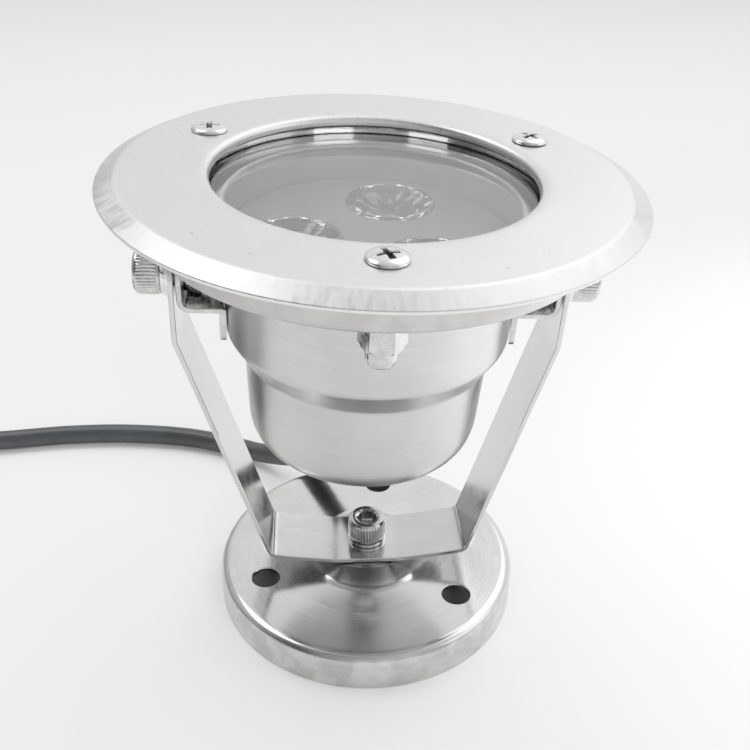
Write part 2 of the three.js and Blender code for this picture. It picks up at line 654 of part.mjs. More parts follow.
function addCable() {
  const toVector = ([x, y, z]) => new THREE.Vector3(x, y, z);
  const route = new THREE.CatmullRomCurve3(cableRoute.map(toVector));
  const tail = new THREE.CatmullRomCurve3(tailRoute.map(toVector));
  const cut = shareNear(route, toVector(DROP_END));
  const faceGap = GAP / route.getLength();
  const bevel = 1.5;
  addPiece(lamp, 'cable_drop', cableTube(route, 0, cut - faceGap, 14), materials.rubber);
  addPiece(lamp, 'cable_run', cableTube(route, cut, 0.985, 24), materials.rubber);
  addPiece(lamp, 'cable_coil', turned([
    [COIL_INNER + bevel, COIL_BOTTOM], [COIL_OUTER - bevel, COIL_BOTTOM], [COIL_OUTER, COIL_BOTTOM + bevel],
    [COIL_OUTER, COIL_TOP - bevel], [COIL_OUTER - bevel, COIL_TOP], [COIL_INNER + bevel, COIL_TOP],
    [COIL_INNER, COIL_TOP - bevel], [COIL_INNER, COIL_BOTTOM + bevel], [COIL_INNER + bevel, COIL_BOTTOM],
  ], 32).translate(...COIL_CENTRE, 0), materials.rubber);
  addPiece(lamp, 'coil_tie', coilTie().translate(...COIL_CENTRE, 0), materials.nylon);
  addPiece(lamp, 'cable_tail', cableTube(tail, 0, 1, 6), materials.rubber);
  const [endX, endY, endZ] = tailRoute.at(-1);
  const cores = [['brown', -1.1, materials.brownCore], ['blue', 1.1, materials.blueCore]];
  for (const [name, side, material] of cores) {
    addPiece(lamp, `core_${name}`,
      rod(0.9, GAP, 14, 10).rotateX(Math.PI / 2).translate(endX + side, endY, endZ), material);
  }
}

addFoot();
addPiece(yoke, 'yoke_bracket', yokeBracket(), materials.polishedSteel);
addBezel();
addPivots();
addLightEngine();
addGland();
addCable();

export default lamp;
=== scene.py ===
"""Looks of the underwater pool light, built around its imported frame.

Shapes are drawn in millimetres in the frame of the group they belong to, then placed in metres.
+Z is up and the front of the lamp faces -Y.
"""
import math

import bmesh
import bpy
import numpy as np
from mathutils import Matrix, Vector


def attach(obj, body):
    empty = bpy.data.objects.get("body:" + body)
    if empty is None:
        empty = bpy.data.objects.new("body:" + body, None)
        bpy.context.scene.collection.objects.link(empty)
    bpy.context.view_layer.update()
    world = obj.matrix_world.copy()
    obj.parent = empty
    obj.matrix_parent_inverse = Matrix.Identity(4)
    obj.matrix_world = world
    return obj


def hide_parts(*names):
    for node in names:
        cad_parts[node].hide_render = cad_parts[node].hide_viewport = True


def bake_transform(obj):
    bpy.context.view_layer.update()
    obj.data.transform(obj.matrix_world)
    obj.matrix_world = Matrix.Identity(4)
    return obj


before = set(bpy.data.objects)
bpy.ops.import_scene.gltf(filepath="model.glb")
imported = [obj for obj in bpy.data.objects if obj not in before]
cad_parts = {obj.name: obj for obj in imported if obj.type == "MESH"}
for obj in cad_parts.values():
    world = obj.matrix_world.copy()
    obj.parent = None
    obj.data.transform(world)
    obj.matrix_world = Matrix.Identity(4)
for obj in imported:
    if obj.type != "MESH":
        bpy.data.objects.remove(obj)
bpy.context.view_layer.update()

MM = 0.001

# ---- Where the groups stand, in millimetres and degrees, as in the CAD ----
PIVOT_HEIGHT = 91.4
YOKE_TURN = 3.92
AXIS_LEAN = 2.03
HEAD_TILT = 2.4


def turn(degrees, axis):
    return Matrix.Rotation(math.radians(degrees), 4, axis)


def shift(x, y, z):
    return Matrix.Translation((x, y, z))


FOOT = Matrix.Identity(4)
YOKE = turn(YOKE_TURN, "Z")
AXLE = YOKE @ shift(0, 0, PIVOT_HEIGHT) @ turn(AXIS_LEAN, "Y")
HEAD = AXLE @ turn(HEAD_TILT, "X")

# ---- Sizes in millimetres, as in the CAD: each hole is given by its radius ----
SHEET = 1.2
STRIP_WIDTH = 17.6
BOLT_HOLE = 3.3
WASHER_RADIUS = 6
BASE_RADIUS = 39.5
BASE_HEIGHT = 10
BOSS_TOP = 12.75
MOUNT_HOLE = 3.55
MOUNT_HOLE_CIRCLE = 28.8
MOUNT_HOLE_TURN = 84.2
BOLT_HEAD_SEAT = 15.35
RING_TOP = 24.93
RING_UNDER = RING_TOP - 2
RING_OUTER = 57.4
RING_FLAT = 53.2
RING_OPENING = 34.6
RING_LIP_START = 38.5
RING_LIP_DROP = 2.15
RING_BEVEL_DROP = 1.95
SCREW_CIRCLE = 42.3
SCREW_TURN = 29.4
BEZEL_HOLE = 2.75
FLANGE_HOLE = 2.8
FLANGE_RADIUS = 47.8
FLANGE_DEPTH = 12
CAN_UPPER = 32.6
CAN_LOWER = 28.4
CAN_DEPTH = 68
GLAND_PLACE = (1.8, 11.5)
GLAND_HOLE = 4.6
GLASS_RADIUS = 37.6
GLASS_TOP = RING_TOP - 3.3
GLASS_BOTTOM = RING_TOP - 10.1
SEAL_INNER = 36
SEAL_OUTER = 39.5
PLATE_TOP = RING_TOP - 18.8
PLATE_RADIUS = 31.1
OPTIC_TOP = RING_TOP - 18.3
OPTIC_CIRCLE = 17.3
OPTIC_TURN = 73
LENS_HOLE = 10.45
ARM_MIDDLE = 43.3
ARM_END_RADIUS = 8.9
ARM_TOP = 8.86
CABLE_RADIUS = 3.1
COIL_CENTRE = (-178, 15)


def in_scene(name, data):
    """A new object for some data, in the scene."""
    thing = bpy.data.objects.new(name, data)
    bpy.context.scene.collection.objects.link(thing)
    return thing


# ---- Camera ----
CAMERA_PLACE = (1.413, -186.166, 177.029)
CAMERA_RIGHT = (0.99986, 0.00902, 0.014)
CAMERA_BACK = (0, -0.84048, 0.54184)
CAMERA_LENS = 43.22
CAMERA_SHIFT = (0.0011, 0.0389)


def add_camera():
    """A camera close in front of the lamp, looking down at its glass."""
    right = Vector(CAMERA_RIGHT).normalized()
    back = Vector(CAMERA_BACK).normalized()
    up = back.cross(right).normalized()
    right = up.cross(back)
    place = Matrix((right, up, back)).transposed().to_4x4()
    place.translation = Vector(CAMERA_PLACE) * MM
    data = bpy.data.cameras.new("camera")
    data.lens = CAMERA_LENS
    data.sensor_width = 36
    data.shift_x, data.shift_y = CAMERA_SHIFT
    data.clip_start = 0.01
    camera = in_scene("camera", data)
    camera.matrix_world = place
    bpy.context.scene.camera = camera


add_camera()


# ---- Node helpers ----
class Nodes:
    """A short way to write a node tree."""

    def __init__(self, tree):
        self.tree = tree
        tree.nodes.clear()

    def add(self, kind, inputs=(), **settings):
        node = self.tree.nodes.new(kind)
        for key, value in settings.items():
            setattr(node, key, value)
        for key, value in dict(inputs).items():
            self.put(node.inputs[key], value)
        return node

    def put(self, socket, value):
        if isinstance(value, bpy.types.NodeSocket):
            self.tree.links.new(value, socket)
        else:
            socket.default_value = value

    def math(self, operation, a, b=0.0):
        return self.add("ShaderNodeMath", {0: a, 1: b}, operation=operation).outputs[0]

    def times(self, a, b):
        return self.math("MULTIPLY", a, b)

    def plus(self, a, b):
        return self.math("ADD", a, b)

    def remap(self, value, low, high, new_low, new_high, smooth=True):
        inputs = {0: value, 1: low, 2: high, 3: new_low, 4: new_high}
        kind = "SMOOTHSTEP" if smooth else "LINEAR"
        return self.add("ShaderNodeMapRange", inputs, interpolation_type=kind).outputs[0]

    def noise(self, vector, scale, detail=2.0, roughness=0.5):
        inputs = {"Vector": vector, "Scale": scale, "Detail": detail, "Roughness": roughness}
        return self.add("ShaderNodeTexNoise", inputs).outputs[0]

    def scaled(self, vector, factors):
        return self.add("ShaderNodeVectorMath", {0: vector, 1: factors}, operation="MULTIPLY").outputs[0]

    def split(self, vector):
        return self.add("ShaderNodeSeparateXYZ", {0: vector}).outputs

    def joined(self, x, y, z=0.0):
        return self.add("ShaderNodeCombineXYZ", {0: x, 1: y, 2: z}).outputs[0]

    def polar(self, vector, per_radius, per_turn, per_height):
        """(radius, angle, height) of a point, each times its factor."""
        x, y, z = self.split(vector)
        square = self.plus(self.times(x, x), self.times(y, y))
        radius = self.math("SQRT", square)
        angle = self.math("ARCTAN2", y, x)
        return self.scaled(self.joined(radius, angle, z), (per_radius, per_turn, per_height))

    def mix(self, factor, a, b):
        """A blend from colour a to colour b."""
        return self.add("ShaderNodeMix", {0: factor, 6: a, 7: b}, data_type="RGBA").outputs[2]

    def bump(self, height, strength, distance):
        return self.add("ShaderNodeBump", {
            "Height": height, "Strength": strength, "Distance": distance}).outputs[0]


def new_material(name):
    material = bpy.data.materials.new(name)
    material.use_nodes = True
    return material, Nodes(material.node_tree)


def finish_material(nodes, **inputs):
    """Ends a material in one shader, whose inputs are named with _ for a space."""
    names = {key.replace("_", " "): value for key, value in inputs.items()}
    shader = nodes.add("ShaderNodeBsdfPrincipled", names)
    nodes.add("ShaderNodeOutputMaterial", {0: shader.outputs[0]})


def local_place(nodes):
    """A point's place in its own group, in millimetres, stored on the mesh."""
    return nodes.add("ShaderNodeAttribute", attribute_name="place").outputs["Vector"]


def row_place(nodes):
    """A point's place in the row frame, in millimetres."""
    coordinates = nodes.add("ShaderNodeTexCoord").outputs["Object"]
    return nodes.scaled(coordinates, (1000, 1000, 1000))


# ---- Metals ----
POLISHED = (0.6, 0.602, 0.6)
SATIN = (0.5, 0.502, 0.498)
BRIGHT = (0.7, 0.7, 0.695)
STRIP = (0.545, 0.547, 0.545)
# A darker copy of the steel, as painted shade: it stands for the dark surroundings that the cap screws,
# dome nuts and ears reflect.
SHADED_STEEL = (0.5, 0.5, 0.495)
WARM = (1.0, 0.99, 0.975)
# Painted shade: the next tone darkens the outer walls, partly standing for shade and partly the metal's own
# mottling. The one after is a dark reflection painted on the foot's raised seat.
WALL_TONE_AND_SHADE = (0.42, 0.41, 0.395, 1)
BOSS_PAINTED_SHADE = (0.26, 0.26, 0.255, 1)
DARK_PAINT = (0.34, 0.34, 0.338, 1)
LIGHT_PAINT = (0.42, 0.42, 0.417, 1)
BUMP_DEPTH = 0.0001


def radius_and_height(nodes, here):
    """How far a point is from its group's Z axis, and how high it is."""
    radius, _, height = nodes.split(nodes.polar(here, 1, 1, 1))
    return radius, height


def zones_with_painted_shade(nodes, here, smear, base, rough, wall, boss, liner):
    """Changes the look of a turned piece by radius.

    It is duller and darker with a mottled tone outside wall, partly as painted shade, darker inside boss
    as a painted dark reflection, and painted inside liner above the group's middle.
    """
    radius, height = radius_and_height(nodes, here)
    if boss:
        # Painted shade: the foot's raised seat is darkened in its colour, a painted dark reflection.
        base = nodes.mix(nodes.remap(radius, boss + 1, boss - 1, 0, 0.65), base, BOSS_PAINTED_SHADE)
    if liner:
        within = nodes.remap(radius, liner + 0.1, liner - 0.1, 0, 1)
        inside = nodes.times(within, nodes.remap(height, -1, 0, 0, 1))
        base = nodes.mix(inside, base, nodes.mix(smear, DARK_PAINT, LIGHT_PAINT))
        rough = nodes.plus(rough, nodes.times(inside, 0.22))
    if wall:
        # Outside wall: a darker mottled tone, partly painted shade under the bezel's skirt and on the
        # foot's side wall.
        outside = nodes.remap(radius, wall - 0.7, wall, 0, 1)
        blotch = nodes.remap(nodes.noise(here, 0.22, 3.0), 0.35, 0.65, 0.1, 0.75)
        base = nodes.mix(nodes.times(outside, blotch), base, WALL_TONE_AND_SHADE)
        rough = nodes.plus(rough, nodes.times(outside, 0.1))
    return base, rough


def metal(name, colour, roughness, lines, smudge=0.1, tone=0.05, bump=0.05, mottle_scale=0.09,
          place=local_place, wall=None, boss=None, liner=None):
    """Steel with fine grinding lines, faint smears and a slight change of tone.

    lines turns a place into the stretched space in which the lines are noise. wall, boss and liner
    are the radii of the zones that take painted shade and paint.
    """
    material, nodes = new_material(name)
    here = place(nodes)
    grain = nodes.noise(lines(nodes, here), 1.0, 4.0, 0.6)
    smear = nodes.noise(here, mottle_scale, 3.0, 0.55)
    fine = nodes.noise(here, 3.0, 2.0)
    lined = nodes.remap(grain, 0.3, 0.7, roughness - smudge * 0.5, roughness + smudge * 0.5)
    smeared = nodes.remap(smear, 0.35, 0.65, -smudge * 0.4, smudge * 0.4)
    rough = nodes.plus(lined, smeared)
    dark = tuple(c * (1 - tone) * w for c, w in zip(colour, WARM)) + (1,)
    light = tuple(c * (1 + tone) for c in colour) + (1,)
    shade = nodes.plus(nodes.times(grain, 0.5), nodes.times(smear, 0.5))
    base = nodes.mix(nodes.remap(shade, 0.38, 0.62, 0, 1), dark, light)
    if wall or boss or liner:
        base, rough = zones_with_painted_shade(nodes, here, smear, base, rough, wall, boss, liner)
    height = nodes.plus(grain, nodes.times(fine, 0.25))
    finish_material(nodes, Base_Color=base, Metallic=1.0, Roughness=rough,
                    Normal=nodes.bump(height, bump, BUMP_DEPTH))
    return material


def lines_along(x, y, z):
    return lambda nodes, here: nodes.scaled(here, (x, y, z))


def lines_polar(per_radius, per_turn, per_height):
    return lambda nodes, here: nodes.polar(here, per_radius, per_turn, per_height)


def slanting_streaks(nodes, here, radius):
    """Grinding marks that lean a little as they cross the bevel."""
    outward, turned, _ = nodes.split(nodes.polar(here, 0.1, 9, 0))
    leaning = nodes.plus(turned, nodes.times(radius, 0.12))
    return nodes.noise(nodes.joined(outward, leaning), 1.0, 3.0, 0.7)


def ring_metal():
    """The bezel: even satin on the flat, slanting grinding marks on the bevel, a few dark specks."""
    material, nodes = new_material("bezel_satin_steel")
    here = local_place(nodes)
    radius, _ = radius_and_height(nodes, here)
    on_bevel = nodes.remap(radius, RING_FLAT - 0.8, RING_FLAT + 1.2, 0, 1)
    on_lip = nodes.remap(radius, RING_LIP_START, RING_LIP_START - 1.5, 0, 1)
    flat_grain = nodes.noise(nodes.scaled(here, (1.1, 5.0, 5.0)), 1.0, 4.0, 0.65)
    radial_grain = nodes.noise(nodes.polar(here, 0.25, 55, 0.25), 1.0, 3.0, 0.6)
    grain = nodes.mix(nodes.math("MAXIMUM", on_bevel, on_lip), flat_grain, radial_grain)
    streaks = slanting_streaks(nodes, here, radius)
    smear = nodes.noise(here, 0.06, 3.0)
    speck = nodes.remap(nodes.noise(here, 0.9, 0.0), 0.845, 0.86, 0, 1)
    rough = nodes.plus(nodes.remap(grain, 0.3, 0.7, 0.3, 0.4), nodes.remap(smear, 0.35, 0.65, -0.03, 0.03))
    scored = nodes.times(nodes.remap(streaks, 0.35, 0.65, -0.06, 0.08), on_bevel)
    rough = nodes.plus(rough, scored)
    base = nodes.mix(nodes.remap(grain, 0.3, 0.7, 0, 1), (0.645, 0.647, 0.645, 1), (0.715, 0.716, 0.715, 1))
    base = nodes.mix(nodes.times(speck, 0.5), base, (0.28, 0.28, 0.27, 1))
    height = nodes.plus(grain, nodes.times(nodes.times(streaks, on_bevel), 0.9))
    finish_material(nodes, Base_Color=base, Metallic=1.0, Roughness=rough,
                    Normal=nodes.bump(height, 0.1, BUMP_DEPTH))
    return material


def pan_metal():
    """Bright screw steel with painted shade down in its cross recess."""
    material, nodes = new_material("pan_screw_steel")
    here = local_place(nodes)
    radius, height = radius_and_height(nodes, here)
    low = nodes.remap(height, 0.95, 0.45, 0, 1)
    # Painted shade: the colour goes dark down in the cross recess.
    recess_shade = nodes.times(low, nodes.remap(radius, 2.9, 2.3, 0, 0.8))
    grain = nodes.noise(nodes.polar(here, 4, 3, 4), 1.0, 4.0, 0.6)
    light = nodes.mix(nodes.remap(grain, 0.35, 0.65, 0, 1), (0.62, 0.62, 0.615, 1), (0.74, 0.74, 0.735, 1))
    base = nodes.mix(recess_shade, light, (0.13, 0.13, 0.128, 1))
    rough = nodes.remap(grain, 0.3, 0.7, 0.12, 0.22)
    finish_material(nodes, Base_Color=base, Metallic=1.0, Roughness=rough,
                    Normal=nodes.bump(grain, 0.03, BUMP_DEPTH))
    return material


steel_bezel = ring_metal()
# The can's flange band and the foot's side wall take a partly painted shade through wall, and the foot's
# raised seat a painted dark reflection through boss.
steel_can = metal("can_satin_steel", SATIN, 0.32, lines_polar(0.6, 1.2, 3.2), smudge=0.03, tone=0.06,
                  bump=0.012, mottle_scale=0.07, wall=46, liner=32)
steel_base = metal("base_polished_steel", POLISHED, 0.17, lines_polar(3.5, 3.0, 3.5), smudge=0.07,
                   bump=0.02, wall=39.1, boss=14.5)
steel_strip = metal("strip_polished_steel", STRIP, 0.2, lines_along(0.35, 4.0, 0.35), bump=0.04)
# The ear steel uses the darker steel tone, painted shade for the shaded brackets.
steel_ear = metal("ear_steel", SHADED_STEEL, 0.24, lines_along(0.35, 4.0, 0.35), smudge=0.12, tone=0.16,
                  mottle_scale=0.25)
steel_screw = metal("screw_bright_steel", BRIGHT, 0.14, lines_polar(4.0, 3.0, 4.0), smudge=0.08,
                    tone=0.08, bump=0.03, mottle_scale=0.4)
# The cap-screw steel, also used for the dome nuts, uses the darker steel tone, painted shade for the dark
# surroundings it reflects.
steel_cap = metal("cap_screw_steel", SHADED_STEEL, 0.16, lines_polar(4.0, 3.0, 4.0), tone=0.12, bump=0.03,
                  mottle_scale=0.4)
steel_pan = pan_metal()


# ---- Other materials ----
def plain(name, light, dark, roughness, scale, bump=0.2, place=local_place, **more):
    """A moulded or painted surface with a slight change of tone and a fine grain."""
    material, nodes = new_material(name)
    here = place(nodes)
    broad = nodes.noise(here, scale, 3.0)
    fine = nodes.noise(here, scale * 22, 2.0)
    base = nodes.mix(nodes.remap(broad, 0.3, 0.7, 0, 1), (*dark, 1), (*light, 1))
    rough = nodes.remap(fine, 0.3, 0.7, roughness - 0.05, roughness + 0.07)
    finish_material(nodes, Base_Color=base, Roughness=rough, Normal=nodes.bump(fine, bump, 0.00005), **more)
    return material


def clear(name, colour, ior, roughness):
    """Glass or clear plastic, with faint wipe marks in its polish."""
    material, nodes = new_material(name)
    wipe = nodes.noise(nodes.scaled(local_place(nodes), (0.2, 0.6, 0.2)), 1.0, 3.0)
    finish_material(nodes, Base_Color=(*colour, 1), IOR=ior, Transmission_Weight=1.0,
                    Roughness=nodes.remap(wipe, 0.4, 0.7, roughness, roughness + 0.03))
    return material


glass = clear("window_glass", (0.95, 0.965, 0.96), 1.52, 0.0)
optic = clear("optic_plastic", (0.97, 0.98, 0.98), 1.49, 0.0)
silicone = plain("grey_silicone", (0.115, 0.122, 0.126), (0.08, 0.085, 0.088), 0.35, 0.5)
rubber = plain("gasket_rubber", (0.03, 0.031, 0.033), (0.018, 0.019, 0.02), 0.55, 0.3)
cable_rubber = plain("cable_rubber", (0.052, 0.057, 0.061), (0.036, 0.04, 0.043), 0.4, 0.12,
                     place=row_place)
nylon = plain("black_nylon", (0.03, 0.03, 0.031), (0.02, 0.02, 0.021), 0.45, 0.4, place=row_place)
grey_plate = plain("grey_plate", (0.3, 0.3, 0.297), (0.26, 0.26, 0.258), 0.42, 0.08, Metallic=0.5)
emitter = plain("led_package", (0.66, 0.64, 0.5), (0.5, 0.5, 0.46), 0.35, 0.8, place=row_place)
board = plain("circuit_board", (0.06, 0.17, 0.09), (0.035, 0.11, 0.055), 0.4, 0.25, place=row_place)
alloy = plain("aluminium", (0.7, 0.71, 0.72), (0.6, 0.61, 0.62), 0.35, 0.3, place=row_place, Metallic=1.0)
copper = plain("copper_wire", (0.62, 0.29, 0.13), (0.42, 0.17, 0.07), 0.3, 0.6, place=row_place,
               Metallic=1.0)
brown = plain("core_brown", (0.2, 0.09, 0.045), (0.14, 0.06, 0.03), 0.3, 0.5, place=row_place)
blue = plain("core_blue", (0.04, 0.14, 0.46), (0.03, 0.1, 0.36), 0.3, 0.5, place=row_place)


# ---- Mesh helpers ----
CREASE = 32


def link(name, mesh, material):
    """A piece with smooth faces and sharp creases, its flats shaded flat."""
    mesh.name = name
    piece = in_scene(name, mesh)
    mesh.materials.clear()
    mesh.materials.append(material)
    mesh.shade_smooth()
    mesh.set_sharp_from_angle(angle=math.radians(CREASE))
    even = piece.modifiers.new("even_normals", "WEIGHTED_NORMAL")
    even.keep_sharp = True
    return piece


def shape(points, faces):
    """A mesh in millimetres with its faces turned outwards."""
    mesh = bpy.data.meshes.new("shape")
    mesh.from_pydata([tuple(p) for p in points], [], [tuple(f) for f in faces])
    work = bmesh.new()
    work.from_mesh(mesh)
    bmesh.ops.remove_doubles(work, verts=work.verts, dist=1e-4)
    bmesh.ops.recalc_face_normals(work, faces=work.faces)
    work.to_mesh(mesh)
    work.free()
    return mesh


def settle(mesh, matrix):
    """Stores each point's place in its group, then puts the mesh in the row frame, in metres."""
    places = np.empty(len(mesh.vertices) * 3, np.float32)
    mesh.vertices.foreach_get("co", places)
    mesh.attributes.new("place", "FLOAT_VECTOR", "POINT").data.foreach_set("vector", places)
    mesh.transform(Matrix.Scale(MM, 4) @ matrix)
    return mesh


def boolean(mesh, operation, others):
    """Cuts or joins other meshes, all in the same millimetre space."""
    target = in_scene("boolean_target", mesh)
    made = [target]
    for other in others:
        tool = in_scene("boolean_tool", other)
        modifier = target.modifiers.new("boolean", "BOOLEAN")
        modifier.operation = operation
        modifier.solver = "EXACT"
        modifier.object = tool
        made.append(tool)
    view = bpy.context.evaluated_depsgraph_get()
    result = bpy.data.meshes.new_from_object(target.evaluated_get(view))
    for tool in made:
        bpy.data.objects.remove(tool)
    return result


def add_piece(name, mesh, place, body, material, node):
    """Adds a mesh as a piece that rides a body and stands for a CAD node."""
    piece = link(name, settle(mesh, place), material)
    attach(piece, body)
    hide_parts(node)
    return piece


def add_fixing(name, mesh, place, body, material, node):
    add_piece(name, mesh, place, body, material, node)


def around(circle, first_turn):
    """Three (x, y) places on a circle, 120 degrees apart."""
    angles = [math.radians(first_turn + 120 * k) for k in range(3)]
    return [(circle * math.cos(a), circle * math.sin(a)) for a in angles]


def sleeve_faces(rows, ring, closed=False):
    """The faces of a sleeve of rows with ring points each, capped at both ends unless it is closed."""
    total = rows * ring
    faces = []
    for row in range(0, total if closed else total - ring, ring):
        above = (row + ring) % total
        for k in range(ring):
            n = (k + 1) % ring
            faces.append((row + k, row + n, above + n, above + k))
    if not closed:
        faces += [tuple(range(ring)), tuple(range(total - ring, total))]
    return faces


def rounded(corners, closed=False, steps=5):
    """A profile from (radius, z, fillet) corners, with each fillet as an arc-like curve."""
    count = len(corners)
    profile = []
    for i, (x, y, fillet) in enumerate(corners):
        here = Vector((x, y))
        if fillet == 0 or (not closed and i in (0, count - 1)):
            profile.append((x, y))
            continue
        before = Vector(corners[i - 1][:2]) - here
        after = Vector(corners[(i + 1) % count][:2]) - here
        half = before.angle(after) / 2
        reach = min(fillet / math.tan(half), before.length * 0.5, after.length * 0.5)
        start = here + before.normalized() * reach
        end = here + after.normalized() * reach
        for k in range(steps + 1):
            t = k / steps
            point = start * (1 - t) ** 2 + here * 2 * t * (1 - t) + end * t * t
            profile.append((point.x, point.y))
    return profile


def lathe(profile, segments, closed=False, radius_of=None, lift=None):
    """Turns a profile about Z. radius_of(radius, z, angle) and lift(x, y, z) may bend it."""
    points = []
    rows = []
    for radius, z in profile:
        if radius < 1e-6:
            points.append((0, 0, z + (lift(0, 0, z) if lift else 0)))
            rows.append([len(points) - 1] * segments)
            continue
        row = []
        for k in range(segments):
            angle = 2 * math.pi * k / segments
            r = radius_of(radius, z, angle) if radius_of else radius
            x = r * math.cos(angle)
            y = r * math.sin(angle)
            points.append((x, y, z + (lift(x, y, z) if lift else 0)))
            row.append(len(points) - 1)
        rows.append(row)
    faces = []
    pairs = list(zip(rows, rows[1:])) + ([(rows[-1], rows[0])] if closed else [])
    for low, high in pairs:
        for k in range(segments):
            n = (k + 1) % segments
            corners = list(dict.fromkeys((low[k], low[n], high[n], high[k])))
            if len(corners) > 2:
                faces.append(corners)
    return shape(points, faces)


def rod_mesh(radius, low, high):
    return lathe([(0, low), (radius, low), (radius, high), (0, high)], 48)


def rods(places, radius, low, high):
    """Upright rods at (x, y) places, to drill holes with."""
    made = []
    for x, y in places:
        rod = rod_mesh(radius, low, high)
        rod.transform(shift(x, y, 0))
        made.append(rod)
    return made


def hexagon_radius(flats, angle):
    """The distance to the side of a hexagon with a corner at angle 0."""
    within = (angle % (math.pi / 3)) - math.pi / 6
    return flats / 2 / math.cos(within)


SPAN_STEPS = 24


def between(p, q, s, start, end):
    """The point at s on the line that passes p at start and q at end."""
    return p * ((end - s) / (end - start)) + q * ((s - start) / (end - start))


def smooth_path(points, spacing):
    """Even points along a centripetal Catmull-Rom curve."""
    p = [Vector(q) for q in points]
    p = [p[0] * 2 - p[1], *p, p[-1] * 2 - p[-2]]
    dense = []
    for a, b, c, d in zip(p, p[1:], p[2:], p[3:]):
        t = [0.0]
        for u, v in ((a, b), (b, c), (c, d)):
            t.append(t[-1] + max((v - u).length, 1e-6) ** 0.5)
        for k in range(SPAN_STEPS):
            s = t[1] + (t[2] - t[1]) * k / SPAN_STEPS
            a1 = between(a, b, s, t[0], t[1])
            a2 = between(b, c, s, t[1], t[2])
            a3 = between(c, d, s, t[2], t[3])
            b1 = between(a1, a2, s, t[0], t[2])
            b2 = between(a2, a3, s, t[1], t[3])
            dense.append(between(b1, b2, s, t[1], t[2]))
    dense.append(p[-2])
    return even_points(dense, spacing)


def even_points(points, spacing):
    """Points at equal steps along a line, about a spacing apart."""
    places = np.array([tuple(q) for q in points])
    along = np.concatenate([[0], np.cumsum(np.linalg.norm(np.diff(places, axis=0), axis=1))])
    count = max(2, int(round(along[-1] / spacing)) + 1)
    wanted = np.linspace(0, along[-1], count)
    return [Vector([np.interp(w, along, places[:, k]) for k in range(3)]) for w in wanted]


# ---- The supply cable ----
CABLE_ROUTE = [
    (-0.96, 13.64, 39.8), (-1.2, 13.95, 34), (-2.6, 16.4, 27.8), (-6.2, 21.6, 22.4),
    (-11.2, 28.2, 18.2), (-16.6, 35, 14.6), (-22.2, 41.4, 10.4), (-28.6, 47.2, 6.5),
    (-36.4, 52.4, 3.9), (-46, 57, 3.15), (-60, 61, 3.15), (-80, 62.8, 3.15),
    (-100, 61.6, 3.15), (-120, 58, 3.15), (-139, 54.8, 3.4), (-159, 53.3, 4),
]
TAIL_ROUTE = [
    (-219, 14, 9.3), (-222.4, 6, 7), (-224.6, -6, 4.2), (-225.8, -18, 3.2), (-226, -38, 3.15),
]
INNER, OUTER = 32, 38.2
LOWER, UPPER = 4.3, 10.5
COIL_LANES = [
    (0, OUTER, LOWER), (290, OUTER, LOWER), (360, INNER, LOWER), (650, INNER, LOWER),
    (720, INNER, UPPER), (1010, INNER, UPPER), (1080, OUTER, UPPER), (1160, OUTER, UPPER),
]
COIL_START = 90


def coil_points():
    """Three turns and a bit, in two lanes and two layers, wound away from the incoming run."""
    turned, radii, heights = zip(*COIL_LANES)
    points = []
    for degrees in range(4, 1156, 6):
        radius = np.interp(degrees, turned, radii)
        angle = math.radians(COIL_START + degrees)
        x = COIL_CENTRE[0] + radius * math.cos(angle)
        y = COIL_CENTRE[1] + radius * math.sin(angle)
        points.append((x, y, np.interp(degrees, turned, heights)))
    return points


def tube_modifier(piece, radius, material):
    """A round tube of constant radius along the piece's own line."""
    group = bpy.data.node_groups.new(piece.name + "_tube", "GeometryNodeTree")
    group.interface.new_socket("Geometry", in_out="INPUT", socket_type="NodeSocketGeometry")
    group.interface.new_socket("Geometry", in_out="OUTPUT", socket_type="NodeSocketGeometry")
    nodes = Nodes(group)
    start = nodes.add("NodeGroupInput")
    line = nodes.add("GeometryNodeMeshToCurve", {"Mesh": start.outputs[0]})
    size = {"Resolution": 28, "Radius": radius}
    circle = nodes.add("GeometryNodeCurvePrimitiveCircle", size, mode="RADIUS")
    tube = nodes.add("GeometryNodeCurveToMesh", {
        "Curve": line.outputs[0], "Profile Curve": circle.outputs[0], "Fill Caps": True})
    smooth = nodes.add("GeometryNodeSetShadeSmooth", {"Geometry": tube.outputs[0]})
    done = nodes.add("GeometryNodeSetMaterial", {"Geometry": smooth.outputs[0], "Material": material})
    nodes.add("NodeGroupOutput", {0: done.outputs[0]})
    piece.modifiers.new("tube", "NODES").node_group = group


def hull_of_circles(centres, radius, steps=10):
    """The outline of a band drawn tight around equal circles, their centres given anticlockwise."""
    outline = []
    count = len(centres)
    for i, here in enumerate(centres):
        before = Vector(here) - Vector(centres[i - 1])
        after = Vector(centres[(i + 1) % count]) - Vector(here)
        start = math.atan2(-before.x, before.y)
        turned = (math.atan2(-after.x, after.y) - start) % (2 * math.pi)
        for k in range(steps + 1):
            angle = start + turned * k / steps + math.pi
            outline.append((here[0] + radius * math.cos(angle), here[1] + radius * math.sin(angle)))
    return outline


def tie_band():
    """A flat band around the coil's three turns."""
    centres = [(INNER, LOWER), (OUTER, LOWER), (INNER, UPPER)]
    inside = hull_of_circles(centres, CABLE_RADIUS + 0.12)
    outside = hull_of_circles(centres, CABLE_RADIUS + 0.95)
    half = 1.9
    ease = 0.25
    points = []
    for (xi, zi), (xo, zo) in zip(inside, outside):
        points += [(xi, -half, zi), (xi, half, zi), (xo, half - ease, zo), (xo, ease - half, zo)]
    return shape(points, sleeve_faces(len(inside), 4, closed=True))


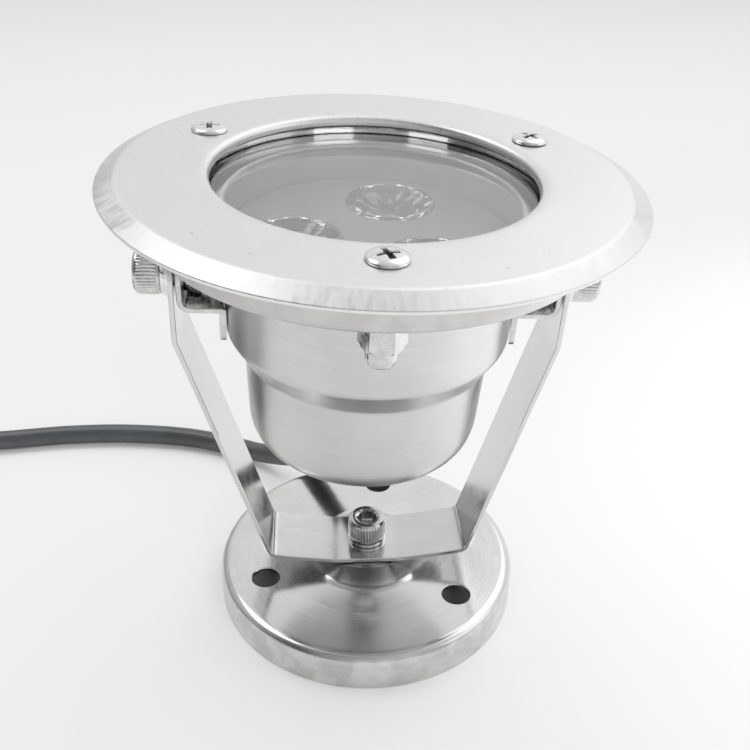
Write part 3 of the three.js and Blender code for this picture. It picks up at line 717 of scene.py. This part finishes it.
def tie_head():
    """The tie's locking block, on the outside of its band."""
    half, low, high = 2.4, -0.2, 3.2
    side = [(-half, low, 0.6), (half, low, 0.6), (half, high, 0.9), (-half, high, 0.9)]
    block = rounded(side, closed=True, steps=4)
    points = [(x, y, z) for y in (-2.6, 2.6) for x, z in block]
    head = shape(points, sleeve_faces(2, len(block)))
    head.transform(shift(38.6, 0, 10.2) @ turn(45, "Y"))
    return head


def add_tie():
    mesh = boolean(tie_band(), "UNION", [tie_head()])
    place = shift(*COIL_CENTRE, 0) @ turn(-60, "Z")
    return add_piece("coil_band", mesh, place, "yoke", nylon, "coil_tie")


def add_cable():
    """One cable from the gland to its bare end, with its coil held by the tie."""
    line = [p * MM for p in smooth_path([*CABLE_ROUTE, *coil_points(), *TAIL_ROUTE], 1.5)]
    mesh = bpy.data.meshes.new("supply_cable")
    mesh.from_pydata([tuple(p) for p in line], [(i, i + 1) for i in range(len(line) - 1)], [])
    mesh.materials.append(cable_rubber)
    cable = in_scene("supply_cable", mesh)
    tube_modifier(cable, CABLE_RADIUS * MM, cable_rubber)
    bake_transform(cable)
    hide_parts("cable_drop", "cable_run", "cable_coil", "cable_tail")
    extras = [add_tie(), *(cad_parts[n] for n in ("core_brown", "core_blue"))]


add_cable()


# ---- Screws, nuts and washers ----
def cap_screw(shank):
    """An M6 socket cap screw seated at z = 0: knurled side, chamfered top and a countersunk hex socket."""
    head_radius = 5.0
    low, high = 0.9, 4.9
    socket = 2.5
    profile = rounded([
        (0, -shank, 0), (2.5, -shank, 0), (2.95, -shank + 0.6, 0), (2.95, 0, 0),
        (4.55, 0, 0), (4.85, 0.3, 0.2), (4.85, low - 0.15, 0), (head_radius, low, 0),
        (head_radius, 2.2, 0), (head_radius, 3.6, 0), (head_radius, high, 0), (4.86, high + 0.15, 0),
        (4.8, 5.45, 0.25), (4.35, 6.0, 0.3), (3.25, 6.0, 0.12), (2.85, 5.62, 0),
        (socket, 5.55, 0), (socket, 3.0, 0), (2.3, 2.75, 0), (0, 2.4, 0),
    ], steps=4)

    def radius_of(radius, z, angle):
        if radius >= head_radius - 0.01:
            return radius - 0.22 * (1 - abs(math.cos(19 * angle)))
        if z > 2.6 and radius < socket + 0.1:
            return radius * hexagon_radius(2.0, angle)
        return radius

    return lathe(profile, 228, radius_of=radius_of)


def washer(inner, outer, low, high):
    corners = [(inner, low, 0.12), (outer, low, 0.12), (outer, high, 0.12), (inner, high, 0.12)]
    return lathe(rounded(corners, closed=True, steps=3), 96, closed=True)


def spring_washer(low, high):
    """A split ring cut at a slant."""
    inner, outer = BOLT_HOLE, 5.2
    gap = math.radians(7)
    slant = 0.05
    steps = 72
    section = [(inner, low), (outer, low + 0.05), (outer, high - 0.05), (inner, high)]
    points = []
    for k in range(steps + 1):
        for r, z in section:
            lean = slant * (2 * z - low - high) / (high - low)
            angle = gap / 2 + (2 * math.pi - gap) * k / steps + lean
            points.append((r * math.cos(angle), r * math.sin(angle), z))
    return shape(points, sleeve_faces(steps + 1, 4))


def pan_screw(cross_turn):
    """A pan-head screw seated at z = 0 with a cross recess."""
    head_radius = 4.1
    edge = 0.25
    shank = 16.8
    side = rounded([(0, -shank, 0), (2, -shank, 0), (2.4, -shank + 0.5, 0), (2.4, 0, 0),
                    (head_radius - 0.1, 0, 0), (head_radius, edge, 0.12)])
    top = []
    for k in range(46):
        share = 1 - k / 45
        dome = edge + 0.62 * (1 - share ** 3.4) ** 0.5 + 0.33 * (1 - share ** 2)
        top.append((head_radius * share, dome))

    def recess(x, y, z):
        if z < edge or math.hypot(x, y) > 3:
            return 0
        u = x * math.cos(cross_turn) + y * math.sin(cross_turn)
        v = y * math.cos(cross_turn) - x * math.sin(cross_turn)
        depth = 0
        for along, across in ((abs(u), abs(v)), (abs(v), abs(u))):
            inside = min(max((0.6 - across) / 0.16, 0), 1) * min(max((2.25 - along) / 0.2, 0), 1)
            depth = max(depth, inside * (1.9 - 0.45 * along))
        return -depth

    return lathe(side + top, 96, lift=recess)


def crown_nut():
    """A domed nut hanging from z = 0, its hexagon chamfered where the dome begins."""
    corners = [
        (3.9, 0, 0), (4.62, 0, 0), (4.62, -2.4, 0), (4.62, -4.5, 0), (4.1, -5.1, 0), (3.2, -5.15, 0.1),
        (3.15, -5.6, 0), (3.15, -7.4, 1.2), (2.5, -9.1, 0.9), (1.2, -9.5, 0.5), (0, -9.5, 0),
    ]

    def radius_of(radius, _, angle):
        return min(radius, hexagon_radius(8, angle)) if radius > 3.3 else radius

    return lathe([(0, 0)] + rounded(corners), 144, radius_of=radius_of)


def hex_collar(flats, bore, low, high):
    """A hexagon nut with chamfered corners."""
    corner = flats / math.sqrt(3)
    corners = [
        (bore, low, 0), (flats / 2 - 0.1, low, 0), (corner, low + 0.45, 0), (corner, high - 0.45, 0),
        (flats / 2 - 0.1, high, 0), (bore, high, 0),
    ]

    def radius_of(radius, _, angle):
        return min(radius, hexagon_radius(flats, angle)) if radius > bore + 0.01 else radius

    return lathe(rounded(corners, closed=True), 96, closed=True, radius_of=radius_of)


# ---- Foot ----
def base_mesh():
    """The pressed dish, with a raised seat for the bolt and three punched holes."""
    rim = BASE_RADIUS - SHEET
    under = BASE_HEIGHT - SHEET
    outside = [
        (BASE_RADIUS, 0, 0.25), (BASE_RADIUS, BASE_HEIGHT, 3), (24, BASE_HEIGHT - 0.12, 10),
        (16, BASE_HEIGHT, 5.5), (10.6, BOSS_TOP - 0.3, 1.6), (9, BOSS_TOP, 1.5),
        (BOLT_HOLE, BOSS_TOP, 0.1),
    ]
    inside = [
        (BOLT_HOLE, BOSS_TOP - SHEET, 0), (8.8, BOSS_TOP - SHEET, 0.6), (15.3, under, 0.8),
        (rim, under, 1.5), (rim, 0, 0.1),
    ]
    dish = lathe(rounded(outside + inside, closed=True, steps=8), 224, closed=True)
    hole = MOUNT_HOLE
    punch = [
        (0, 5), (hole, 5), (hole, BASE_HEIGHT - 0.45), (hole + 0.12, BASE_HEIGHT - 0.2),
        (hole + 0.7, BASE_HEIGHT + 0.3), (hole + 0.7, 15), (0, 15),
    ]
    punches = []
    for x, y in around(MOUNT_HOLE_CIRCLE, MOUNT_HOLE_TURN):
        cutter = lathe(punch, 64)
        cutter.transform(shift(x, y, 0))
        punches.append(cutter)
    return boolean(dish, "DIFFERENCE", punches)


def add_foot():
    """The dish, and the bolt, nut and washers through it."""
    top = BOLT_HEAD_SEAT - 0.15
    bolt = cap_screw(BOLT_HEAD_SEAT - 3)
    upper_washer = washer(BOLT_HOLE, 5.0, top - 0.9, top)
    nut = hex_collar(10, 3.15, 5.4, 10.4)
    nut_washer = washer(BOLT_HOLE, WASHER_RADIUS, 10.5, 11.4)
    add_piece("base_plate", base_mesh(), FOOT, "base", steel_base, "base_dish")
    add_fixing("swivel_bolt", bolt, shift(0, 0, BOLT_HEAD_SEAT), "base", steel_cap, "base_bolt")
    add_fixing("swivel_washer", upper_washer, FOOT, "base", steel_screw, "base_washer")
    add_fixing("swivel_nut", nut, FOOT, "base", steel_screw, "base_nut")
    add_fixing("swivel_nut_washer", nut_washer, FOOT, "base", steel_screw, "base_nut_washer")


add_foot()


# ---- Strips: the yoke and the ears ----
def bent_line(corners, spacing=0.8):
    """Even points along a polyline of (x, z, bend radius) corners."""
    points = [Vector((x, 0, z)) for x, z in rounded(corners, steps=10)]
    return even_points(points, spacing)


def strip_section(half_width):
    """(across, offset) points round a sheet of the given half width, with eased edges."""
    ease = 0.16
    half = SHEET / 2
    flat = np.linspace(-1, 1, 13) * (half_width - ease)
    section = [(y, half) for y in flat]
    section += [(half_width, half - ease), (half_width, -half + ease)]
    section += [(y, -half) for y in flat[::-1]]
    section += [(-half_width, -half + ease), (-half_width, half - ease)]
    return section


def strip(line, half_width, start_at=None):
    """A sheet strip along a line in XZ.

    half_width(point) gives half its width there, and start_at(x, y) pulls its first points to a
    curved start.
    """
    points = []
    for i, here in enumerate(line):
        along = (line[min(i + 1, len(line) - 1)] - line[max(i - 1, 0)]).normalized()
        out = Vector((-along.z, 0, along.x))
        section = strip_section(half_width(here))
        for y, offset in section:
            point = here + out * offset
            x = start_at(point.x, y) if start_at else point.x
            points.append((x, y, point.z))
    return shape(points, sleeve_faces(len(line), len(section)))


def end_width(height):
    """Half a strip's width at a height above the tilt axis: its end is round about the axis."""
    if height <= 1.4:
        return STRIP_WIDTH / 2
    return max(math.sqrt(max(ARM_END_RADIUS ** 2 - height ** 2, 0)), 0.7)


def yoke_corners(axle):
    """(x, z, bend radius) corners from the left arm's end, under the strap and up the right arm."""
    def at_axle(x, z, bend):
        p = axle @ Vector((x, 0, z))
        return (p.x, p.z, bend)

    def arm(x):
        return [at_axle(x, ARM_TOP, 0), at_axle(x, -13.2, 5)]

    middle, rise, end = 13.55, 2.6, 25.6
    strap = [(-end, middle + rise, 2.6)]
    for share in (-0.8, -0.55, -0.3, 0.3, 0.55, 0.8):
        bow = rise * share * share if abs(share) > 0.4 else 0
        strap.append((share * end, middle + bow, 6))
    strap.append((end, middle + rise, 2.6))
    return arm(-ARM_MIDDLE) + strap + arm(ARM_MIDDLE)[::-1]


def yoke_mesh():
    """One bent strip, drilled for the two side screws and the base bolt."""
    axle = shift(0, 0, PIVOT_HEIGHT) @ turn(AXIS_LEAN, "Y")
    back = axle.inverted()
    body = strip(bent_line(yoke_corners(axle)), lambda p: end_width((back @ p).z))
    pivots = rod_mesh(BOLT_HOLE, -60, 60)
    pivots.transform(axle @ turn(90, "Y"))
    return boolean(body, "DIFFERENCE", [pivots, rod_mesh(BOLT_HOLE, 5, 20)])


def ear_mesh():
    """The right ear: a flange beside the arm, a web, and a curved tab against the can."""
    web, flange = -4.9, 41.6
    web_start, web_end = 30, 38
    seat = CAN_UPPER + 0.3
    seat_middle = seat + SHEET / 2
    line = bent_line([(web_start, web, 0), (flange, web, 2.6), (flange, ARM_TOP, 0)], 0.6)

    def start_at(x, y):
        if x >= web_end:
            return x
        begin = math.sqrt(seat_middle ** 2 - min(abs(y), seat_middle) ** 2)
        return begin + (x - web_start) * (web_end - begin) / (web_end - web_start)

    body = strip(line, lambda p: end_width(p.z), start_at=start_at)
    pivot = rod_mesh(BOLT_HOLE, 35, 50)
    pivot.transform(turn(90, "Y"))
    body = boolean(body, "DIFFERENCE", [pivot])
    return boolean(body, "UNION", [ear_tab(seat)])


def ear_tab(seat):
    """A curved sheet along the can, rounded at its lower corners."""
    low, high, corner = -13.5, -4.6, 3.0
    rows, columns = 22, 24
    points = []
    for radius in (seat, seat + SHEET):
        for i in range(rows + 1):
            z = low + (high - low) * i / rows
            rise = max(corner - (z - low), 0)
            width = STRIP_WIDTH / 2 - corner + math.sqrt(max(corner ** 2 - rise ** 2, 0))
            for k in range(columns + 1):
                y = width * (2 * k / columns - 1)
                points.append((math.sqrt(radius ** 2 - y ** 2), y, z))
    wide = columns + 1
    sheet = (rows + 1) * wide
    faces = []
    for i in range(rows):
        for k in range(columns):
            a = i * wide + k
            quad = (a, a + 1, a + wide + 1, a + wide)
            faces += [quad, tuple(sheet + q for q in quad[::-1])]
    edge = list(range(columns)) + [i * wide + columns for i in range(rows)]
    edge += [rows * wide + k for k in range(columns, 0, -1)] + [i * wide for i in range(rows, 0, -1)]
    for a, b in zip(edge, edge[1:] + edge[:1]):
        faces.append((a, b, sheet + b, sheet + a))
    return shape(points, faces)


def add_strips():
    """The yoke, and on each side an ear with its pivot screw and washers."""
    add_piece("yoke_strap", yoke_mesh(), YOKE, "yoke", steel_strip, "yoke_bracket")
    for side, angle in (("right", 0), ("left", 180)):
        flip = HEAD @ turn(angle, "Z")
        outward = flip @ turn(90, "Y")
        screw = cap_screw(10.4)
        disc = washer(BOLT_HOLE, WASHER_RADIUS, 44.05, 44.95)
        spring = spring_washer(45.05, 45.96)
        add_piece(f"ear_{side}", ear_mesh(), flip, "head", steel_ear,
                  f"ear_bracket_{side}")
        add_fixing(f"pivot_screw_{side}", screw, outward @ shift(0, 0, 46.06), "head", steel_cap,
                   f"pivot_bolt_{side}")
        add_fixing(f"pivot_disc_{side}", disc, outward, "head", steel_screw, f"pivot_washer_{side}")
        add_fixing(f"pivot_spring_{side}", spring, outward @ turn(115, "Z"), "head", steel_screw,
                   f"pivot_spring_washer_{side}")


add_strips()


# ---- Bezel, can, glass ----
def lip_profile():
    """(radius, z, fillet) corners from the bezel's flat down to its opening."""
    power = 3.3
    steps = 21
    lip = []
    for k in range(steps + 1):
        share = math.sin(math.pi / 2 * k / steps)
        drop = RING_LIP_DROP * (1 - max(1 - share ** power, 0) ** (1 / power))
        lip.append((RING_LIP_START - (RING_LIP_START - RING_OPENING) * share, RING_TOP - drop, 0))
    return lip


def bezel_profile():
    """The bezel's section, with extra points across its flat for the dents to bend."""
    edge = RING_TOP - RING_BEVEL_DROP
    corners = [(RING_OPENING + 0.7, RING_TOP - RING_LIP_DROP - 0.02, 0)] + lip_profile()[::-1] + [
        (46, RING_TOP, 0), (RING_FLAT, RING_TOP, 2.6), (RING_OUTER, edge, 0.35),
        (RING_OUTER - 0.05, edge - 0.7, 0.3), (RING_OUTER - 0.8, edge - 0.9, 0.2),
        (RING_FLAT - 1, RING_UNDER, 1), (RING_OPENING + 2, RING_UNDER, 0),
    ]
    section = rounded(corners, closed=True, steps=8)
    profile = []
    for (r0, z0), (r1, z1) in zip(section, section[1:]):
        profile.append((r0, z0))
        if max(abs(z0 - RING_TOP), abs(z1 - RING_TOP)) < 1e-6:
            pieces = max(1, int(abs(r1 - r0) / 0.9))
            profile += [(r0 + (r1 - r0) * k / pieces, z0) for k in range(1, pieces)]
    return profile + section[-1:]


def bezel_mesh():
    """A plate whose inner edge rolls down to the glass and whose outer edge is ground to a bevel."""
    screws = around(SCREW_CIRCLE, SCREW_TURN)
    reach = 7.5

    def dent(x, y, z):
        if z < RING_TOP - 0.6:
            return 0
        for (sx, sy), depth in zip(screws, (0.05, 0.12, 0.24)):
            far = math.hypot(x - sx, y - sy)
            if far < reach:
                return -depth * (0.5 + 0.5 * math.cos(math.pi * far / reach))
        return 0

    plate = lathe(bezel_profile(), 288, closed=True, lift=dent)
    return boolean(plate, "DIFFERENCE", rods(screws, BEZEL_HOLE, 18, 30))


def can_side(inset):
    """The can's section from its mouth to the middle of its bottom, set in by an inset."""
    floor = RING_TOP - FLANGE_DEPTH + inset
    bottom = RING_TOP - CAN_DEPTH + inset
    upper = CAN_UPPER - inset
    lower = CAN_LOWER - inset
    wall = FLANGE_RADIUS - inset
    return rounded([
        (wall, RING_TOP - 2.2, 0), (wall, floor, 1.1), (upper, floor, 1.2), (upper, RING_TOP - 36.2, 3.2),
        (lower + 0.2, RING_TOP - 42.6, 2.6), (lower - 0.9, bottom, 10 - inset), (0, bottom, 0),
    ], steps=10)


def can_mesh():
    """A deep-drawn shell, drilled for the bezel screws and the cable gland."""
    shell = lathe(can_side(0)[::-1] + can_side(SHEET), 224)
    screw_rods = rods(around(SCREW_CIRCLE, SCREW_TURN), FLANGE_HOLE, 8, 18)
    return boolean(shell, "DIFFERENCE", screw_rods + rods([GLAND_PLACE], GLAND_HOLE, -50, -35))


def add_shell():
    add_piece("bezel", bezel_mesh(), HEAD, "head", steel_bezel, "bezel_ring")
    add_piece("can", can_mesh(), HEAD, "head", steel_can, "housing_can")


def add_glass():
    """The pane, the seal round and over its edge, and the seal it sits on."""
    pane = rounded([(0, GLASS_BOTTOM, 0), (GLASS_RADIUS, GLASS_BOTTOM, 0.5), (GLASS_RADIUS, GLASS_TOP, 0.5),
                    (0, GLASS_TOP, 0)])
    side = GLASS_RADIUS + 0.3
    seal = [(SEAL_INNER, GLASS_TOP + 0.2), (SEAL_INNER, GLASS_TOP + 1), (SEAL_OUTER, GLASS_TOP + 1),
            (SEAL_OUTER, GLASS_BOTTOM), (side, GLASS_BOTTOM), (side, GLASS_TOP + 0.2)]
    low = RING_TOP - FLANGE_DEPTH + SHEET + 0.15
    high = GLASS_BOTTOM - 0.15
    seat = [(SEAL_INNER, low), (SEAL_OUTER, low), (SEAL_OUTER, high), (SEAL_INNER, high)]
    seal_mesh = lathe(seal, 192, closed=True)
    seat_mesh = lathe(seat, 192, closed=True)
    add_piece("glass", lathe(pane, 192), HEAD, "head", glass, "glass_lens")
    add_piece("glass_seal", seal_mesh, HEAD, "head", silicone, "glass_gasket")
    add_piece("seat_seal", seat_mesh, HEAD, "head", rubber, "seat_gasket")


def add_bezel_screws():
    """Each pan screw sits a little differently, as does the dome nut under it."""
    under = RING_TOP - FLANGE_DEPTH - 0.15
    details = zip(around(SCREW_CIRCLE, SCREW_TURN), (0.15, 0.05, -0.02), (40, 4, 20), (12, 20, 55))
    for k, ((x, y), proud, cross_turn, nut_turn) in enumerate(details, 1):
        screw = pan_screw(math.radians(cross_turn))
        add_fixing(f"pan_screw_{k}", screw, HEAD @ shift(x, y, RING_TOP + proud), "head", steel_pan,
                   f"bezel_screw_{k}")
        add_fixing(f"dome_nut_{k}", crown_nut(), HEAD @ shift(x, y, under) @ turn(nut_turn, "Z"), "head",
                   steel_cap, f"crown_nut_{k}")


add_shell()
add_glass()
add_bezel_screws()


# ---- Light engine ----
def optic_mesh():
    """A collimator: a thin rim, a shallow cup with small facets, and a cone down to the emitter."""
    outside = [
        (10.1, 0), (10.1, -1.5), (9.4, -2.6), (7.6, -6.6), (5, -10), (3.2, -10), (3.2, -7),
        (2.2, -6.4), (0, -6.1),
    ]
    cup_radius, cup_depth = 9.3, 3.2
    cup = [(0, -cup_depth)]
    for k in range(1, 25):
        r = cup_radius * k / 24
        cup.append((r, -cup_depth * (1 - (r / cup_radius) ** 2.4)))

    def facets(x, y, z):
        r = math.hypot(x, y)
        if z > -0.1 or z < -cup_depth - 0.1 or r >= 9:
            return 0
        row_turn = 6 if int(r / 1.9) % 2 else 0
        return 0.1 * math.cos(12 * math.atan2(y, x) + row_turn) * min(r / 3, 1)

    return lathe(cup + [(9.6, 0.05), (9.85, 0.05)] + outside, 96, lift=facets)


def cover_mesh():
    """A disc with a round hole for each lens."""
    under = PLATE_TOP - 1
    rim = PLATE_RADIUS
    section = rounded([(0, under, 0), (rim, under, 0.1), (rim, PLATE_TOP, 0.15), (0, PLATE_TOP, 0)])
    disc = lathe(section, 160)
    lens_rods = rods(around(OPTIC_CIRCLE, OPTIC_TURN), LENS_HOLE, PLATE_TOP - 3, PLATE_TOP + 2)
    return boolean(disc, "DIFFERENCE", lens_rods)


def add_light_engine():
    add_piece("lens_plate", cover_mesh(), HEAD, "head", grey_plate, "cover_plate")
    for k, (x, y) in enumerate(around(OPTIC_CIRCLE, OPTIC_TURN), 1):
        place = HEAD @ shift(x, y, OPTIC_TOP)
        add_piece(f"collimator_{k}", optic_mesh(), place, "head", optic, f"led_optic_{k}")


add_light_engine()


# ---- CAD nodes that stay ----
def give(material, *names):
    for name in names:
        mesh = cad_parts[name].data
        mesh.materials.clear()
        mesh.materials.append(material)


numbers = ("1", "2", "3")
screw_plain = metal("small_screw_steel", BRIGHT, 0.2, lines_along(2, 2, 2), place=row_place)
give(board, "led_board", "driver_board")
give(alloy, "heat_plate", "driver_pillar_1", "driver_pillar_2", *(f"plate_pillar_{n}" for n in numbers))
give(screw_plain, "gland_body", "gland_nut", "gland_cap", "pivot_insert_right", "pivot_insert_left",
     *(f"board_screw_{n}" for n in numbers))
give(emitter, *(f"led_emitter_{n}" for n in numbers))
give(copper, "driver_coil")
give(nylon, "driver_capacitor")
give(cable_rubber, "lead_tail", "gland_seal")
give(brown, "core_brown")
give(blue, "core_blue")


# ---- Studio ----
def add_floor():
    half = 6
    corners = [(-half, -half, 0), (half, -half, 0), (half, half, 0), (-half, half, 0)]
    mesh = bpy.data.meshes.new("floor")
    mesh.from_pydata(corners, [], [(0, 1, 2, 3)])
    material, nodes = new_material("paper_floor")
    fine = nodes.noise(row_place(nodes), 0.02, 3.0)
    base = nodes.mix(fine, (0.92, 0.92, 0.92, 1), (0.95, 0.95, 0.95, 1))
    finish_material(nodes, Base_Color=base, Roughness=0.7)
    mesh.materials.append(material)
    in_scene("floor", mesh)


def add_world():
    """A pale room: brighter to the right, dimmer overhead, at both sides and behind the camera."""
    world = bpy.data.worlds.new("studio")
    bpy.context.scene.world = world
    world.use_nodes = True
    nodes = Nodes(world.node_tree)
    x, y, z = nodes.split(nodes.add("ShaderNodeTexCoord").outputs["Generated"])
    rising = nodes.remap(z, 0.0, 0.45, 0.98, 1.16)
    overhead = nodes.remap(z, 0.7, 0.95, 0, -0.3)
    side = nodes.remap(x, -0.6, 0.6, -0.26, 0.3, smooth=False)
    front = nodes.times(nodes.remap(y, 0.2, -0.5, 0, -0.55), nodes.remap(z, 0.1, 0.4, 0, 1))
    far = nodes.remap(nodes.math("ABSOLUTE", x), 0.32, 0.6, 0, -0.25)
    level = nodes.plus(nodes.plus(rising, overhead), nodes.plus(side, front))
    level = nodes.plus(level, far)
    shade = nodes.add("ShaderNodeBackground", {"Color": (1, 1, 1, 1), "Strength": level})
    nodes.add("ShaderNodeOutputWorld", {0: shade.outputs[0]})


def add_light(name, azimuth, elevation, size, radiance, distance=1.0, aim=(0, 0, 0.08), spread=180,
              mirrored=True):
    """A soft box of the given radiance, seen from the lamp at an azimuth right of +Y and an elevation."""
    side, up = math.radians(azimuth), math.radians(elevation)
    away = Vector((math.cos(up) * math.sin(side), math.cos(up) * math.cos(side), math.sin(up)))
    data = bpy.data.lights.new(name, "AREA")
    data.shape = "RECTANGLE"
    data.size, data.size_y = size
    data.energy = radiance * math.pi * size[0] * size[1]
    data.spread = math.radians(spread)
    light = in_scene(name, data)
    light.location = Vector(aim) + away * distance
    light.rotation_euler = away.to_track_quat("Z", "Y").to_euler()
    light.visible_glossy = mirrored


def set_tones():
    """Straight tones up to the light greys, then a soft shoulder, as a camera has."""
    view = bpy.context.scene.view_settings
    view.view_transform = "Standard"
    view.use_curve_mapping = True
    mapping = view.curve_mapping
    mapping.white_level = (2, 2, 2)
    curve = mapping.curves[3]
    for x, y in ((0.3, 0.56), (0.45, 0.75), (0.6, 0.87), (0.8, 0.96)):
        curve.points.new(x, y)
    mapping.update()


add_floor()
add_world()
add_light("left_box", -58, 57, (0.5, 0.4), 5.0)
add_light("right_box", 38, 48, (0.5, 0.6), 2.6)
add_light("front_left", -140, 35, (0.4, 0.4), 3.2, distance=0.8, aim=(0, -0.1, 0), mirrored=False)
add_light("front_right", 145, 35, (0.4, 0.4), 4.0, distance=0.8, aim=(0, -0.1, 0), mirrored=False)
add_light("right_low", 100, 28, (0.45, 0.35), 1.0, distance=0.7)
add_light("right_pool", 60, 70, (0.2, 0.2), 5.0, distance=0.4, aim=(0.27, 0.05, 0), spread=44)
set_tones()
